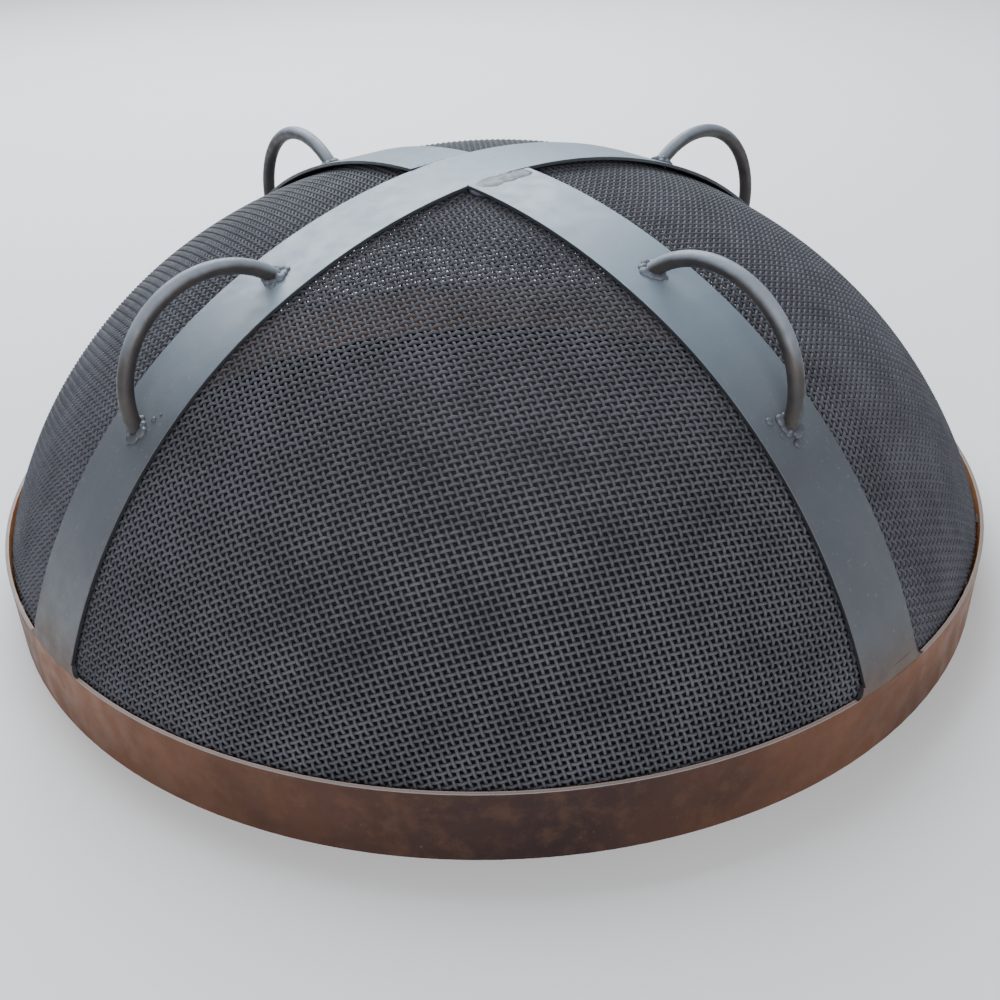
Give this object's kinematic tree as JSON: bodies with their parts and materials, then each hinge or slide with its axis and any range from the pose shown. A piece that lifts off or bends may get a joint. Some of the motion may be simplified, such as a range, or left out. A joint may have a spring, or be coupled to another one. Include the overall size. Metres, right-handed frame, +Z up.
{
  "type": "domed fire pit spark screen",
  "caption": "Lift-off domed spark screen for a round fire pit: woven wire mesh under crossed steel straps on a flat-bar rim, with bent-bar lifting handles.",
  "frame": {"origin": "on the dome's axis, in the plane that the rim stands on", "axes": "+Z up along the dome's axis; X along the unbroken strap; the half straps run along -Y (front) and +Y (back)"},
  "size_m": [0.9143, 0.9144, 0.3529],
  "materials": {
    "rim_steel": "satin high-heat paint browned by heat, with worn edges",
    "strap_steel": "satin blue-grey high-heat paint, browner at the feet",
    "handle_steel": "satin dark grey high-heat paint, slightly rough",
    "weld_metal": "painted weld bead, rippled",
    "mesh_wire": "dark grey painted woven wire"
  },
  "bodies": {
    "root": {"rim_band": "rim_steel", "strap_long": "strap_steel", "strap_half_front": "strap_steel", "strap_half_back": "strap_steel", "handle_right": "handle_steel", "handle_back": "handle_steel", "handle_left": "handle_steel", "handle_front": "handle_steel", "handle_weld_right_upper": "weld_metal", "handle_weld_right_lower": "weld_metal", "handle_weld_back_upper": "weld_metal", "handle_weld_back_lower": "weld_metal", "handle_weld_left_upper": "weld_metal", "handle_weld_left_lower": "weld_metal", "handle_weld_front_upper": "weld_metal", "handle_weld_front_lower": "weld_metal", "crown_weld_front": "weld_metal", "crown_weld_back": "weld_metal", "foot_weld_right": "strap_steel", "foot_weld_back": "strap_steel", "foot_weld_left": "strap_steel", "foot_weld_front": "strap_steel", "mesh_panel_back_right": "mesh_wire", "mesh_panel_back_left": "mesh_wire", "mesh_panel_front_left": "mesh_wire", "mesh_panel_front_right": "mesh_wire", "mesh_edge_welds": "weld_metal"}
  },
  "joints": []
}
